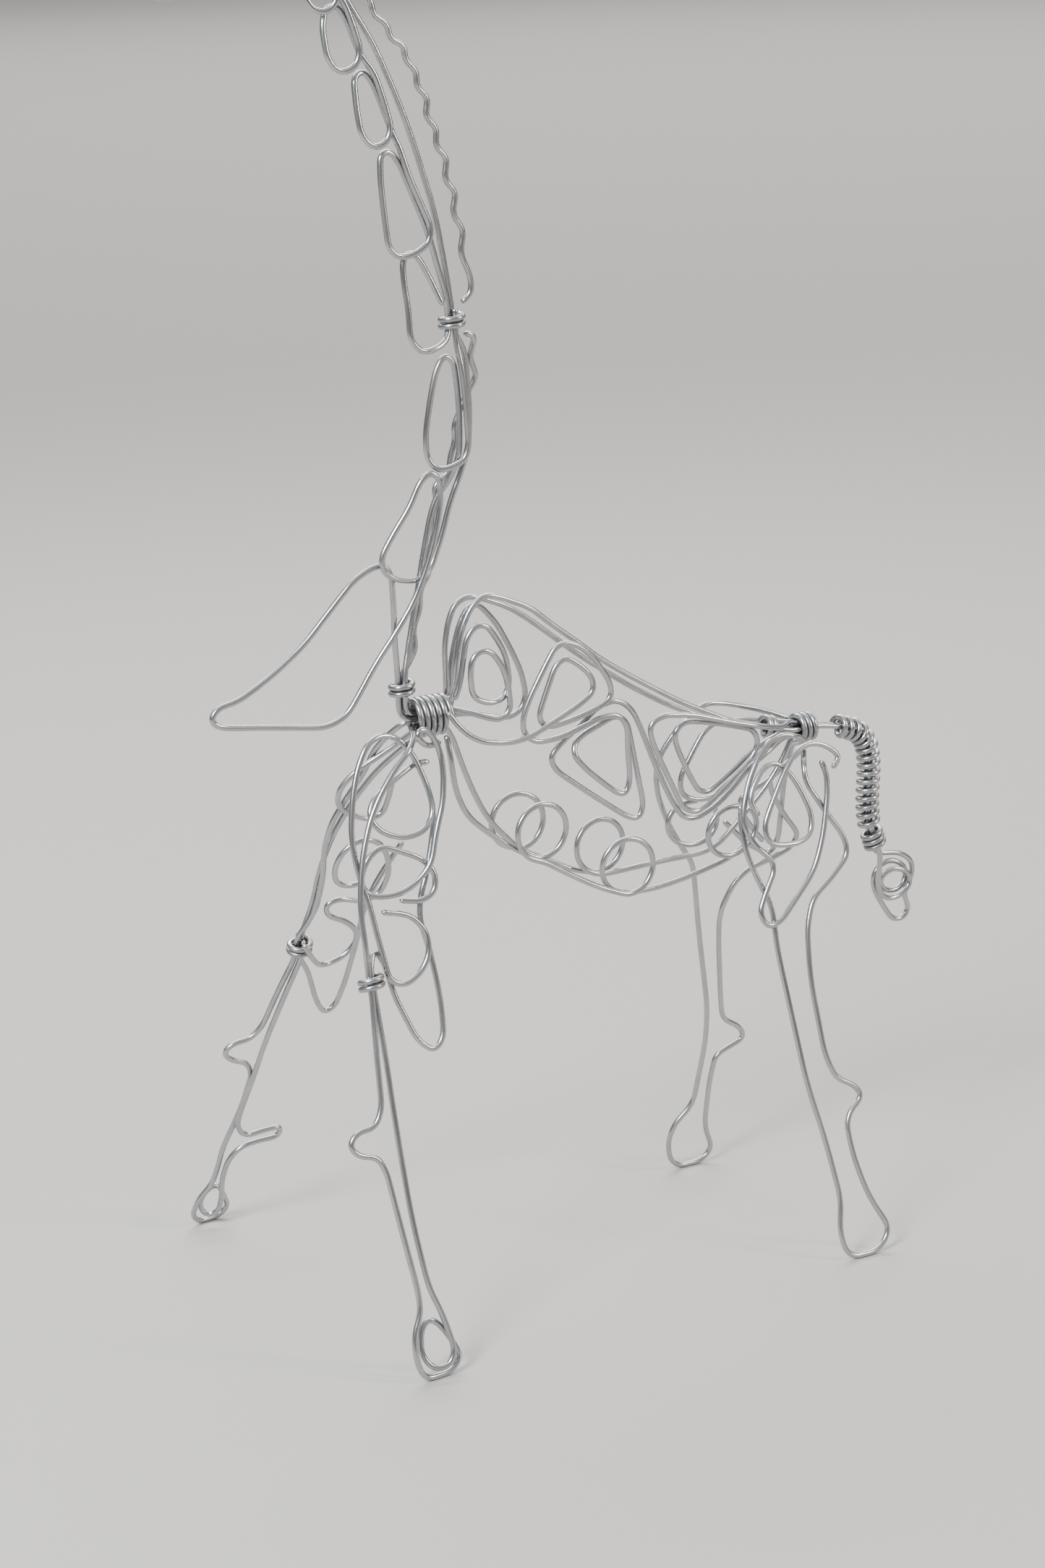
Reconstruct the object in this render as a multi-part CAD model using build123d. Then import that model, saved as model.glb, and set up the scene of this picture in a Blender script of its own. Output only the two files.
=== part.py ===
"""Standing giraffe bent from round galvanised wire, bound with wire wraps.

Millimetres.  The head looks along -X, the near flank faces -Y and +Z is up.
Every wire is one round bar bent along straight runs that are joined by tangent arcs.
"""
from build123d import *
import math
import os

# Driving dimensions.
wire = 2.5            # diameter of the fence wire that everything is bent from
gap = 0.25            # clear space left between two wires that cross
leg_stretch = 1.0     # length of the legs below the belly, 1 for 160 mm
body_stretch = 1.0    # length of the back from the withers to the rump, 1 for 123 mm
near_fore_stance = 78.0   # hooves, measured sideways from the middle plane
far_fore_stance = 109.0
near_hind_stance = 73.0
far_hind_stance = 51.0
hip_half_width = 14.0     # half the width of the body where the legs leave it
belly_half_width = 12.0
ring_radius = 12.0        # belly rings

# Heights and stations that the outlines are drawn to.
belly_height = 160.0
shoulder_height = 250.0
hip_height = 225.0
withers_x = -28.0
rump_x = 95.0

least_turn = 1.5          # degrees; a corner that turns by less is a straight run
pitch = wire + gap        # from one crossing wire's centre to the next
drawn_pitch = 2.75        # pitch that the depths in the routes are drawn for

to_middle = hip_half_width * drawn_pitch / pitch   # depth that brings a leg back to the middle plane

# Windings, measured to the middle of their wire; each goes round a bundle of wires one pitch apart.
shoulder_wrap_radius = 2.6 * pitch + gap
rump_wrap_radius = 2 * pitch - 0.4 * gap
tail_wrap_radius = 1.5 * pitch + 0.3 * gap
knee_wrap_radius = 1.6 * pitch


def warp(x, y, z):
    """Move a drawn point to where the stretched legs and body take it."""
    along = min(max(x, withers_x), rump_x) - withers_x
    low = min(z, belly_height)
    return Vector(x + along * (body_stretch - 1), y, z + low * (leg_stretch - 1))


def lean(hip_y, hip_z, foot_y):
    """The slanted plane of a leg: sideways place as a function of height."""
    return lambda z: foot_y + (hip_y - foot_y) * (z - wire / 2) / (hip_z - wire / 2)


def upright(z):
    """The upright plane of the body's own wires."""
    return 0.0


def route(points, plane=upright, unit=1.0):
    """Points (x, z) or (x, z, depth): a missing depth lies evenly between its neighbours'.

    Depths grow with the pitch, so that layers of thicker wire still pass each other.
    """
    known = [i for i, p in enumerate(points) if len(p) == 3]
    out = []
    for i, p in enumerate(points):
        before = max([k for k in known if k <= i], default=known[0])
        after = min([k for k in known if k >= i], default=known[-1])
        share = 0 if after == before else (i - before) / (after - before)
        depth = points[before][2] + share * (points[after][2] - points[before][2])
        out.append(warp(p[0], plane(p[1]) + depth * unit * pitch / drawn_pitch, p[1]))
    return out


def corners_only(points):
    """The route without the points that lie in line with their neighbours."""
    kept = [points[0]]
    for here, after in zip(points[1:], points[2:]):
        if (here - kept[-1]).get_angle(after - here) > least_turn:
            kept.append(here)
    return kept + [points[-1]]


def bend_radii(points):
    """Arc for each corner, as large as the shorter of its two runs allows."""
    radii = []
    for a, b, c in zip(points, points[1:], points[2:]):
        turn = math.radians((b - a).get_angle(c - b))
        radii.append(0.45 * min((b - a).length, (c - b).length) / math.tan(turn / 2))
    return radii


def bent_wire(points, diameter=wire):
    """A round bar along the route, with an arc at each corner."""
    points = corners_only(points)
    path = FilletPolyline(*points, radius=bend_radii(points))
    start = Plane(origin=path @ 0, z_dir=path % 0)
    return sweep(start * Circle(diameter / 2), path=path)


def coil(centre, axis, radius, turns, advance, start=0.0, steps=8):
    """Corners of a winding whose arcs run at the radius about the axis."""
    frame = Plane(origin=centre, x_dir=Vector(0, 1, 0), z_dir=axis)
    reach = radius / math.cos(math.pi / steps)
    out = []
    for k in range(round(turns * steps) + 1):
        angle = math.radians(start) + 2 * math.pi * k / steps
        rise = advance * (k / steps - turns / 2)
        out.append(frame.from_local_coords(Vector(reach * math.cos(angle), reach * math.sin(angle), rise)))
    return out


def ring_turn(x, z, radius, first, last, steps=10):
    """One full turn that starts and ends at its lowest point, as (x, z, depth)."""
    out = []
    for k in range(steps + 1):
        angle = 2 * math.pi * k / steps
        reach = radius / math.cos(math.pi / steps)
        depth = first + (last - first) * k / steps
        out.append((x + reach * math.sin(angle), z - reach * math.cos(angle), depth))
    return out


def lane(index):
    """Place of a wire in a round bundle: depth as it is drawn, and height offset."""
    if index == 0:
        return 0.0, 0.0
    if index <= 6:
        angle = math.radians(60 * (index - 1))
        return drawn_pitch * math.cos(angle), pitch * math.sin(angle)
    angle = math.radians(30 + 60 * (index - 7))
    return math.sqrt(3) * drawn_pitch * math.cos(angle), math.sqrt(3) * pitch * math.sin(angle)


tie_height = 253.0        # centre of the shoulder binding
rump_tie_height = 221.0   # centre of the rump binding


def neck():
    """Two long wires that carry the throat loops, and the short lower chain of loops."""
    side, up = lane(3)
    spine = [
        (-103, 570.4, 0), (-99.5, 562.5), (-92, 547), (-85, 535), (-76, 521), (-67, 501), (-61, 485),
        (-52, 456), (-48, 433), (-45.7, 418), (-45.7, 409), (-40.5, 401), (-39.5, 387), (-39, 375),
        (-40, 361), (-44, 351, 0), (-49, 340), (-53, 327), (-58, 315, 0), (-63, 310.5), (-70, 311),
        (-78, 313, -5.8), (-83, 317), (-83, 323), (-77, 332), (-70, 341), (-65, 351), (-60, 355),
        (-56, 351), (-56, 341), (-59, 328), (-63, 316, -5.8), (-69, 303), (-78, 290.5), (-87, 279.5),
        (-95, 267.5), (-100.5, 259.5), (-109.5, 256), (-132.5, 259.5), (-154.5, 262.5), (-159.5, 265.5),
        (-156, 270.5), (-147, 272), (-132, 280), (-117, 291), (-105.5, 303), (-94.5, 314), (-86.5, 318),
        (-80.5, 319, -2.6), (-77.5, 314), (-77, 301, -2.6), (-76.5, 285.5), (-75, 272, 0),
        (-75, tie_height, 0), (-64, tie_height, 0),
    ]
    chain = [
        (-52, 420, -4.6), (-56, 430, -2.8), (-61, 439), (-65, 442), (-68, 438, -2.6), (-68, 429),
        (-67, 419.5), (-67, 407, -5.6), (-62, 402), (-56, 403, -5.6), (-50, 405.5), (-48.1, 410, -1.4),
        (-48.1, 416, -1.4), (-49.5, 424.5), (-53, 436), (-56, 447, -2.8), (-62, 462, -2.4),
        (-68, 476, -2.4), (-72.5, 481), (-76.5, 479.5), (-77, 469.5), (-76, 454.5), (-75, 443, -5.6),
        (-70, 439.5), (-63, 441), (-57, 445, -5.6), (-56.5, 451), (-60.5, 460), (-65.5, 471.5, -5.2),
        (-68, 481, -4.2), (-70.5, 487, -2.8), (-74, 497), (-77.5, 506.5), (-81.5, 511.5, -1.2), (-86, 509),
        (-86, 497.5), (-85, 487, -5.6), (-80, 482), (-74, 484, -5.6), (-72, 489.5), (-74.5, 499.5),
        (-78, 510.5, -4.4), (-83, 517, -2.8), (-88, 530, -2.8), (-92, 536), (-97, 535, -2.8), (-99, 527.5),
        (-98, 516, -5.6), (-93, 510.5), (-86, 513, -5.6), (-84, 519), (-86.5, 527.5, -5.6),
        (-90, 537.5, -5.2), (-98, 547, -3), (-103, 554), (-108, 554, -3), (-108, 545), (-104.5, 535, -6.6),
        (-98.5, 533, -6.9), (-94, 537, -7.9), (-93.5, 544, -7.7), (-96.5, 552, -3.4), (-99.1, 558.3, -2.4),
        (-102.4, 565.6, -2.4),
    ]
    low_chain = [
        (-64, tie_height + up, side), (-72.6, tie_height + up, side), (-72.6, 263, side),
        (-72.6, 272, side), (-67, 289, 2.7), (-64, 302), (-61, 317, 2.7), (-57, 334), (-54, 342, 2.7),
        (-48.5, 350, 0), (-45.5, 359, -2.8), (-45, 373), (-45.5, 386), (-47, 397), (-51, 400.5), (-55, 394),
        (-58, 382), (-60.5, 368), (-60, 359, -2.8), (-56.5, 354.5), (-51.5, 355, -5.6), (-44.5, 357.5),
        (-42.5, 363), (-43, 373, -5.6), (-43.5, 384.5), (-44.5, 395, -5), (-45.5, 404, -2.8),
        (-45.7, 410, -2.75), (-45.7, 418, -2.75),
    ]
    return {
        "spine_wire": route(spine),
        "upper_throat_loops": route(chain),
        "lower_throat_loops": route(low_chain),
    }


def mane():
    """Waves along the back of the neck, in two lengths that meet at the neck binding."""
    side, up = lane(2)
    upper = [
        (-100, 570.3, 0), (-97, 563.6), (-92, 554), (-84, 548), (-83, 542), (-76, 537), (-76, 531.5),
        (-69.5, 528), (-69, 522), (-62.5, 520), (-63, 514), (-57.5, 510), (-58.5, 503.5), (-53, 500),
        (-55, 492), (-49.5, 488), (-51, 480.5), (-45.5, 476.5), (-47.5, 467.5), (-42, 463), (-44.5, 454),
        (-39, 448), (-41.5, 439), (-37, 430), (-36.5, 423), (-41, 419.5, 0),
    ]
    lower = [
        (-40.2, 407.2, 0), (-35.5, 406.5), (-36, 402), (-37.8, 397.5, 1.5), (-34, 389), (-38, 384, 2.8),
        (-41, 377, 3.4), (-44.5, 370), (-43.5, 364), (-46, 357.5), (-46.5, 351, 5), (-53.5, 346.5, 5.6),
        (-52, 339.5), (-55, 333), (-53.5, 326), (-57.5, 317), (-56, 311), (-61, 305), (-61, 296.5),
        (-65, 288.5, 5.6), (-64, 281, 4.6), (-68, 276, 3), (-72.6, 271.5, side), (-72.6, 263, side),
        (-72.6, tie_height + up, side), (-64, tie_height + up, side),
    ]
    return {"upper_mane": route(upper), "lower_mane": route(lower)}


def head():
    """Profile of the skull, a cheek loop, ear, horn and eye to each side."""
    profile = [
        (-96.7, 559.5, -2.38), (-98.2, 563, -2.38), (-101.5, 570.5, -2.38), (-104, 578), (-111, 584, 0),
        (-120, 581), (-140, 571), (-160, 561), (-169, 553), (-170, 545), (-163, 540), (-150, 543),
        (-135, 547), (-115, 549, 0), (-101, 550, 2.38), (-98, 555.7, 2.38), (-100.8, 562, 2.38),
        (-103.8, 568.7, 2.38),
    ]
    out = {"head_profile": route(profile)}
    for name, side in (("near", -1), ("far", 1)):
        cheek = [
            (-107, 569, 6.2), (-112, 575.5, 6.6), (-126, 572, 8), (-146, 563, 6), (-157, 554, 3.4),
            (-150, 548, 4.5), (-130, 552, 8), (-113, 557, 8.2), (-106.5, 563, 8.2),
        ]
        ear = [
            (-103, 573, 5.6), (-99, 578, 13), (-95, 582, 25), (-91, 580, 33), (-92, 573, 25),
            (-97, 569.5, 14), (-99, 566, 8.8),
        ]
        horn = [
            (-114, 577, 3.6), (-110, 588, 5), (-106, 603, 6.6), (-102, 607, 6.8), (-100.5, 612, 7),
            (-104.5, 616, 7.2), (-109, 613, 7.4), (-109, 608, 7.6),
        ]
        eye = ring_turn(-127, 568, 4.2, 10.9, 13.4, 8)
        out[name + "_cheek"] = route(cheek, unit=side)
        out[name + "_ear"] = route(ear, unit=side)
        out[name + "_horn"] = route(horn, unit=side)
        out[name + "_eye"] = route(eye, unit=side)
    return out


def torso():
    """Two back wires that run on as the cores of the tail, and the withers spots."""
    low_side, low_up = lane(12)
    back_far = [
        (-62, tie_height + lane(7)[1], lane(7)[0]), (-51.5, tie_height + lane(7)[1], lane(7)[0]),
        (-51.5, 265, 3.4), (-52, 280, 3), (-50, 290), (-47, 297), (-41, 300), (-34, 298), (-22, 293),
        (-12, 286), (-2, 278), (12, 267), (25, 258), (37, 250), (54, 240), (70, 233), (84, 228.6, 3),
        (96, 225.6, 0), (109, 222.2, 0), (114, rump_tie_height, 0), (130, rump_tie_height), (139, 219),
        (149, 215.5), (154, 209), (155.5, 199), (154.5, 182), (155.5, 171), (161, 156, 0),
    ]
    back_near = [
        (-62, tie_height + lane(8)[1], 0), (-51.3, tie_height + lane(8)[1], 0), (-50.5, 266, -2.4),
        (-50, 274, -3), (-47, 288), (-42, 297), (-36, 301), (-29, 299), (-15, 293), (-6, 285), (6, 276),
        (17, 267), (29, 259), (42, 251), (58, 241.5), (78, 232), (87, 228, -3), (96, 225.6, -2.75),
        (109, 222.2, -2.75), (114, rump_tie_height, -2.75), (130, rump_tie_height), (139, 219),
        (149, 215.5), (154, 209), (155.5, 199), (154.5, 182), (155.5, 171), (161.5, 155, -2.75),
        (160.5, 146), (161, 138), (166, 133.5), (174, 134), (179.5, 139), (178, 144.5), (171, 147.5),
        (165, 145.5, 0), (163, 141), (167, 136.5), (174, 136), (179, 140, 2), (178, 147), (171, 150.5),
        (164.5, 148.5), (161.5, 142), (164, 135, 4.6), (169, 127), (173.5, 120.5), (180, 120.5),
        (182.5, 125), (179, 133, 4.6), (184, 140), (184, 147), (177, 152.5), (165.5, 154, 4.6),
    ]
    near = [
        (-62, tie_height + lane(9)[1], lane(9)[0]), (-52.4, tie_height + lane(9)[1], lane(9)[0]),
        (-46, 253.5, -9), (-38, 250.5, -11.8), (-33, 250), (-29.8, 254), (-30.5, 263), (-33, 272),
        (-38, 279), (-43, 280.5), (-47.2, 277), (-48, 269), (-47, 261), (-42, 258.3), (-38, 257.6, -11.8),
        (-31, 258, -9), (-28.5, 264), (-30, 276), (-35, 285), (-39, 290), (-44, 290), (-48, 285),
        (-50, 274), (-51.5, 266), (-54, 260.5, -8.8),
    ]
    far = [
        (-62, tie_height, lane(1)[0]), (-52, tie_height, lane(1)[0]), (-46.5, 255, 8), (-47.5, 267, 8),
        (-45, 279), (-42, 288), (-38, 294), (-34, 295), (-30, 291), (-25, 285), (-19, 274), (-14, 263),
        (-12, 253), (-14, 247), (-20, 244), (-39, 249, 8), (-50, tie_height + low_up, low_side),
        (-62, tie_height + low_up, low_side),
    ]
    return {
        "far_back_wire": route(back_far), "near_back_wire": route(back_near),
        "near_withers_spot": route(near), "far_withers_spot": route(far),
    }


def flank():
    """The near flank's two triangles in one wire, and a four-cornered spot to each side."""
    near = [
        (-58, 256, -10.4), (-54.5, 250, -13), (-50, 245.5, -15.5), (-45, 243, -17), (-33, 241), (-24, 242),
        (-10, 248), (0, 252.6), (6.5, 257, -17), (6.5, 262), (3, 267, -16), (-5, 273, -14.2), (-10, 269.7),
        (-14, 260), (-18, 250), (-17, 245.7), (-12, 244), (0, 246), (12, 249.5), (17, 253, -14.2),
        (15.5, 260), (8, 271), (1, 277), (-5, 279), (-10, 277.5), (-16, 268), (-22, 258), (-25.5, 250),
        (-25.5, 243), (-20, 238.5, -14.2), (-8, 238.7), (3, 242), (12, 244.7), (20, 244.7), (24, 239),
        (24, 228), (25, 216), (23, 209), (18, 211), (12, 216), (4, 223), (-2, 230, -14.2), (0, 235, -11.4),
        (6, 238.5), (13, 241), (20, 244), (25.5, 240), (28, 227), (31, 212), (33, 203), (31, 196),
        (24, 199), (5, 213), (-9, 224), (-12, 230), (-6, 236), (3, 242), (11, 248.5), (20, 250.5),
        (26, 247), (29.5, 242, -11.4), (35, 232, -8.6), (41, 217), (48, 202), (54, 192.5), (61, 191),
        (71, 195), (80, 202), (87, 209), (97, 215, -8.6), (108, rump_tie_height + lane(5)[1], -3.4),
        (116, rump_tie_height + lane(5)[1], lane(5)[0]), (126, rump_tie_height + lane(5)[1], lane(5)[0]),
    ]
    quad = [
        (126, rump_tie_height + lane(3)[1], lane(3)[0]), (116.5, rump_tie_height + lane(3)[1], lane(3)[0]),
        (111, 225.6, -3.6), (105, 225.6, -9.5), (98, 227, -13), (88, 230, -17), (73, 234), (55, 240),
        (40, 242), (33, 239), (34, 232, -17), (39, 221), (45, 209), (50, 199), (57, 196), (63, 198.5),
        (71, 204, -14.2), (80, 211), (87, 217), (89, 223), (86, 228.5), (74, 232, -14.2), (63, 235),
        (52, 237), (46.5, 233), (48, 226), (54, 213, -14.2), (59, 205), (64, 203), (75, 209, -11.4),
        (85, 216), (94, 221, -11.4), (103, 222.3, -8.4),
    ]
    far = [
        (126, rump_tie_height + lane(2)[1], lane(2)[0]), (115, rump_tie_height + lane(2)[1], lane(2)[0]),
        (105, 224.5, 8), (95, 225, 12), (83, 226), (77, 222), (71, 213), (65, 203), (66, 195), (74, 192),
        (83, 192), (93, 197), (105, 206, 12), (115, rump_tie_height, lane(1)[0]),
        (126, rump_tie_height, lane(1)[0]),
    ]
    return {"near_flank_triangles": route(near), "near_flank_spot": route(quad), "far_flank_spot": route(far)}


def belly():
    """A belly wire to each side that winds two rings, and a third ring beside it."""
    inner = belly_half_width - 1
    outer = belly_half_width + 2.6
    near = [
        (-58, 246, 8.4), (-57.5, 236, inner), (-56, 223), (-51, 211), (-40, 201), (-29, 193, inner),
    ] + ring_turn(-17, 199, ring_radius, inner, outer) + [
        (-4, 178, outer), (10, 170),
    ] + ring_turn(24, 177, ring_radius, outer, inner) + [
        (40, 164, inner), (58, 167), (76, 171.5), (84, 177, inner + 1),
    ]
    far = [
        (-52, 247, 8.2), (-46, 240, 11), (-39, 219, inner), (-30, 200, inner),
    ] + ring_turn(-15, 197, ring_radius, inner, outer) + [
        (1, 176, outer), (13, 169.5),
    ] + ring_turn(25, 179, ring_radius, outer, inner) + [
        (53, 167.5, inner), (81, 168), (95, 181), (108, 194), (115, 204), (120, 214.8, 7),
    ]
    near_third = [
        (80, 195.5, 17.4), (72, 197), (65, 193.5), (61.5, 187), (62.5, 180), (67, 175.5), (74, 173.5),
        (81, 175.5), (86.5, 181), (88, 188), (84.5, 193.5, 14.6),
    ]
    far_third = [
        (76, 191, 14.4), (68, 191), (61.5, 187.5), (59.5, 181), (63, 174.5), (70, 171), (78, 171),
        (84, 175), (86, 181), (84, 187.5, 14.4),
    ]
    return {
        "near_belly_wire": route(near, unit=-1), "far_belly_wire": route(far),
        "near_third_ring": route(near_third, unit=-1), "far_third_ring": route(far_third),
    }


def near_fore():
    """Leg with a toe spur, a double hoof loop and a V behind the knee; two wires of spots."""
    plane = lean(-hip_half_width, shoulder_height, -near_fore_stance)
    leg = [
        (-63, 250.6, to_middle - 4.2), (-71, 250.6, to_middle - 4.2), (-74, 249.5, 3), (-79, 245.5, -2.75),
        (-87, 239), (-95, 230), (-101, 221), (-106, 209), (-109, 198), (-111, 186), (-111, 173, -2.75),
        (-110.9, 164, -1.6), (-110.9, 152, -1.6), (-113, 130, -2.75), (-114, 110), (-118, 103), (-126, 103),
        (-131, 98), (-126, 93), (-119, 92), (-116, 85), (-113, 60), (-110, 37), (-110, 28), (-114.5, 20),
        (-115, 10, -2.75), (-112, 1.25), (-99, 1.25, 0), (-94, 6), (-97, 13), (-101, 20), (-106, 24.5),
        (-110, 20), (-111.5, 11, 0), (-108, 4.6), (-101, 4.6, -2.75), (-97.5, 10), (-99, 18), (-101, 26),
        (-105, 37, -2.75), (-107.5, 64), (-108, 100, 0), (-108, 130), (-108.8, 152, 0.5),
        (-108.8, 164, 0.5), (-105, 170, 3.2), (-101, 163, 3.8), (-99, 150, 3.8), (-92, 131, 2.75),
        (-85, 125), (-80, 130), (-79, 142), (-79.5, 154), (-81, 168), (-83, 177), (-81, 186, 4), (-77, 194),
        (-74, 202), (-71.5, 210), (-69, 217, 4),
    ]
    shoulder = [
        (-68, 237, 6), (-74, 237.5, 5.8), (-83, 234, 4), (-91, 230), (-97, 226), (-99.5, 220), (-95, 214),
        (-86, 210.5), (-77, 212, 0), (-71, 218), (-71.5, 227), (-75, 240, 2.75), (-80, 248, 2.75),
        (-88, 252), (-96, 250, 0), (-102, 241), (-106, 230), (-109, 216), (-109, 206), (-107.5, 196),
        (-105.5, 188), (-104, 175), (-102.4, 164, 0), (-101.5, 157), (-95, 154), (-87, 158), (-82, 165),
        (-82.5, 174), (-88, 180.5), (-94, 182.5), (-100.5, 184, 0),
    ]
    forearm = [
        (-62, 244, 5.6), (-69, 244.5, 0.6), (-73.5, 247, -4.5), (-77.5, 251, -5.8), (-74, 254, -5.4),
        (-69.5, 250.5, -4), (-66, 243, -2.75), (-66, 234), (-68, 223), (-73, 212), (-77, 200, -2.75),
        (-83, 194), (-90, 190, 0), (-97, 189), (-104, 190, 3), (-107, 196), (-103, 204, 2.9), (-96, 209),
        (-88, 205.5), (-80, 202), (-74.5, 196, 0.2), (-75.5, 188), (-82, 185, 0.8), (-91, 186.5, 2.2),
    ]
    return {
        "near_fore_leg": route(leg, plane),
        "near_shoulder_spots": route(shoulder, plane),
        "near_forearm_spot": route(forearm, plane),
    }


def far_fore():
    """Leg with toe and heel spurs and a double hoof loop; a flap wire and two wires of spots."""
    plane = lean(hip_half_width, shoulder_height, far_fore_stance)
    leg = [
        (-63, 250.6, 4.3 - to_middle), (-71, 250.6, 4.3 - to_middle), (-75, 245, -6), (-78, 236, 0),
        (-81, 226), (-87, 216), (-93, 204, 0), (-95, 192), (-93.5, 178), (-95, 163, -1), (-98.5, 155, -1),
        (-101.6, 149, 0), (-101.6, 138, 0), (-107, 124), (-113, 105), (-118, 99.5), (-126, 99),
        (-130.5, 95), (-126, 90), (-118, 87), (-115, 80), (-118, 63), (-121, 53), (-125, 41), (-126, 31),
        (-128, 22), (-133, 16), (-136, 7, 0), (-132, 1.25), (-121, 1.25, 2.75), (-117, 6), (-120, 13),
        (-124, 20.5, 2.75), (-129, 18), (-132, 12, 2.75), (-130, 5), (-124.5, 6, -2.75), (-123.5, 14),
        (-124.5, 26, -2.75), (-122.5, 36), (-117, 42), (-108, 43), (-99, 43), (-98, 48.5), (-106, 48.5),
        (-116, 47), (-120.5, 54), (-119.5, 62), (-115, 81), (-112, 97), (-105, 122, -2.75),
        (-99.2, 138, -1.375), (-99.2, 147, -1.375),
    ]
    flap = [
        (-60, 244, 3.4 - to_middle), (-64, 237, -2), (-74, 225, 2.75), (-83, 212), (-90, 197), (-94, 180),
        (-95, 163, 3.2), (-99.2, 150, 1.375), (-99.2, 138, 1.375), (-93, 129, 2.75), (-87, 112), (-82, 104),
        (-77, 107), (-74, 118), (-71, 140), (-70, 157), (-65, 171), (-56, 187, 2.75),
    ]
    elbow = [
        (-62, 246.5, 6.7 - to_middle), (-69, 240, -5), (-79, 232.5, -2.75), (-87, 228), (-93, 221), (-93, 213),
        (-86, 207.5), (-77, 203.5), (-70.5, 205), (-68.5, 216), (-68.5, 226, -2.75),
    ]
    forearm = [
        (-102, 147.5, -7.9), (-96, 138, -7.9), (-90, 133, -4), (-82, 134, -2.75), (-75, 139), (-74, 147),
        (-81, 154), (-90, 158), (-92, 164.5), (-85, 166), (-73, 162, -2.75), (-66, 165), (-63, 174),
        (-65, 183), (-69.5, 190.5), (-76, 194), (-83, 193), (-88, 188), (-90, 181), (-88, 174),
        (-82, 171.5), (-75, 172, -2.75),
    ]
    return {
        "far_fore_leg": route(leg, plane), "far_fore_flap": route(flap, plane),
        "far_shoulder_spot": route(elbow, plane), "far_forearm_spots": route(forearm, plane),
    }


def near_hind():
    """Leg with a heel spur and a single hoof loop, a long thigh loop and a hooked thigh spot."""
    plane = lean(-hip_half_width, hip_height, -near_hind_stance)
    leg = [
        (75.5, 198, 0), (74, 188), (75, 177), (79, 165), (84, 154), (83.5, 136), (86, 109), (89, 77),
        (94, 54), (98, 26), (95, 13), (97.5, 1.25), (114, 1.25), (121, 9), (112, 25), (107, 44), (106, 60),
        (116.5, 67.5), (112, 73), (104, 77), (100, 88), (98, 121), (100, 142), (105, 154), (115, 160),
        (126, 169), (125, 177), (116, 191, 0), (110, 202), (111, 210, 2), (118, 211.8, 12),
    ]
    thigh = [
        (117.5, 216.5, 7.6), (112, 220, 2), (106, 223, -2.75), (100, 224.5), (92, 222.5), (85, 216),
        (79, 207), (75, 197), (74, 189), (78, 181), (85.5, 174), (86, 169), (81, 162), (75.5, 153),
        (79, 146), (86, 148), (95, 156), (106, 166), (113, 180), (118, 197), (119, 205), (117, 211, -2.75),
    ]
    hook = [
        (119, 209, -8.4), (124, 213, -8.25), (117, 219), (109, 221), (101, 218), (94, 210),
        (85, 197, -8.25), (81, 190), (82, 182.5), (89, 180.5), (98, 180), (105, 183), (106.5, 191),
        (103, 201), (99, 209, -5.5), (92, 215), (85, 212.5), (79, 205), (77, 200, -5.5), (80.5, 194, -5.5),
    ]
    return {
        "near_hind_leg": route(leg, plane),
        "near_thigh_loop": route(thigh, plane),
        "near_thigh_spot": route(hook, plane),
    }


def far_hind():
    """Leg with a heel spur and a single hoof loop, and two plain thigh wires."""
    plane = lean(hip_half_width, hip_height, far_hind_stance)
    leg = [
        (122, 222, 7.8 - to_middle), (111, 226.5, -3), (101, 230, 0), (87, 234), (78, 235), (69, 229), (62, 221),
        (57, 213), (56, 205), (58, 195), (64, 181), (73, 167), (79, 159), (81, 150), (86, 122), (94, 84),
        (95, 66), (91, 33), (82, 25), (79, 16), (81, 6), (86, 1.25), (99, 1.25), (104, 7), (98.5, 20),
        (99, 43), (101, 57), (109, 60), (117, 63), (112, 70), (103, 75), (101, 86), (97, 116), (96, 131),
        (102, 144), (109, 150), (121, 153), (132, 157), (135, 163), (126, 174), (118, 186), (116, 194, 0),
    ]
    thigh = [
        (132, 208, -2.75), (128, 204), (121, 199), (113, 193), (105, 190), (99, 187), (101, 180),
        (107, 172), (114, 164, -2.75),
    ]
    strut = [
        (124.5, 213.2, 1.8 - to_middle), (127.5, 208, 1.5), (127, 200, 2.75), (126, 190), (126, 174), (126, 161),
        (122, 154), (114, 159), (108, 163), (96, 175, 2.75),
    ]
    return {
        "far_hind_leg": route(leg, plane),
        "far_thigh_wire": route(thigh, plane),
        "far_thigh_strut": route(strut, plane),
    }


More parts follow.
